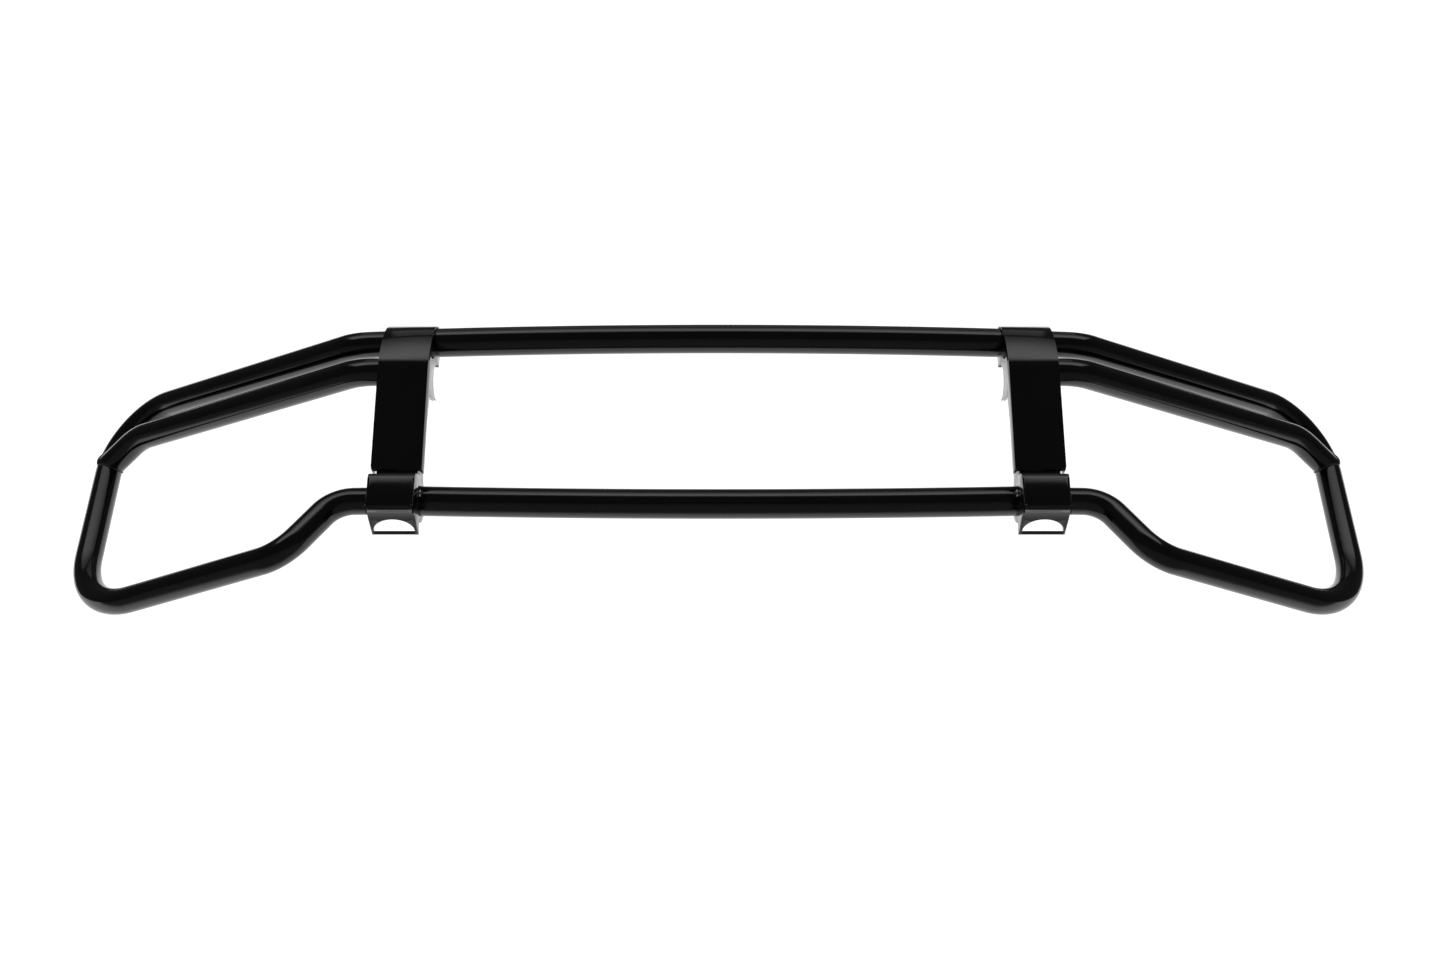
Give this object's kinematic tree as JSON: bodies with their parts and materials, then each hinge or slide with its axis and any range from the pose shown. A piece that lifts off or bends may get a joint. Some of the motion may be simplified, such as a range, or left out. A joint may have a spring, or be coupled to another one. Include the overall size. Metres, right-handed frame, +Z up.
{
  "type": "front grille guard",
  "caption": "Tubular grille guard with crowned cross tubes, swept-back wing loops and two capped uprights that bolt to the front of a vehicle.",
  "frame": {"origin": "centre of the whole guard's bounding box", "axes": "+Z up, -Y towards the front of the vehicle, +X to the vehicle's left"},
  "size_m": [1.7862, 0.346, 0.3816],
  "materials": {
    "gloss": "gloss black powder coat on steel",
    "zinc": "bright zinc plate",
    "rubber": "matt moulded rubber"
  },
  "bodies": {
    "root": {"top_cross_tube": "gloss", "lower_cross_tube": "gloss", "left_wing_loop_tube": "gloss", "right_wing_loop_tube": "gloss", "left_brow_tube": "gloss", "right_brow_tube": "gloss", "left_upright_cover": "gloss", "right_upright_cover": "gloss", "left_upright_bracket": "gloss", "right_upright_bracket": "gloss", "left_lower_clamp_block": "gloss", "right_lower_clamp_block": "gloss", "left_lower_clamp_saddle": "gloss", "right_lower_clamp_saddle": "gloss", "left_mount_foot": "gloss", "right_mount_foot": "gloss", "left_mount_pad": "rubber", "right_mount_pad": "rubber", "left_top_joint_spigot": "zinc", "right_top_joint_spigot": "zinc", "left_lower_joint_spigot": "zinc", "right_lower_joint_spigot": "zinc", "left_clamp_bolt_inner": "zinc", "right_clamp_bolt_inner": "zinc", "left_clamp_bolt_outer": "zinc", "right_clamp_bolt_outer": "zinc", "left_clamp_washer_inner": "zinc", "right_clamp_washer_inner": "zinc", "left_clamp_washer_outer": "zinc", "right_clamp_washer_outer": "zinc", "left_cover_stud_lower": "zinc", "right_cover_stud_lower": "zinc", "left_cover_stud_upper": "zinc", "right_cover_stud_upper": "zinc", "left_cover_nut_lower": "zinc", "right_cover_nut_lower": "zinc", "left_cover_nut_upper": "zinc", "right_cover_nut_upper": "zinc", "left_block_screw_inner": "zinc", "right_block_screw_inner": "zinc", "left_block_screw_outer": "zinc", "right_block_screw_outer": "zinc"}
  },
  "joints": []
}
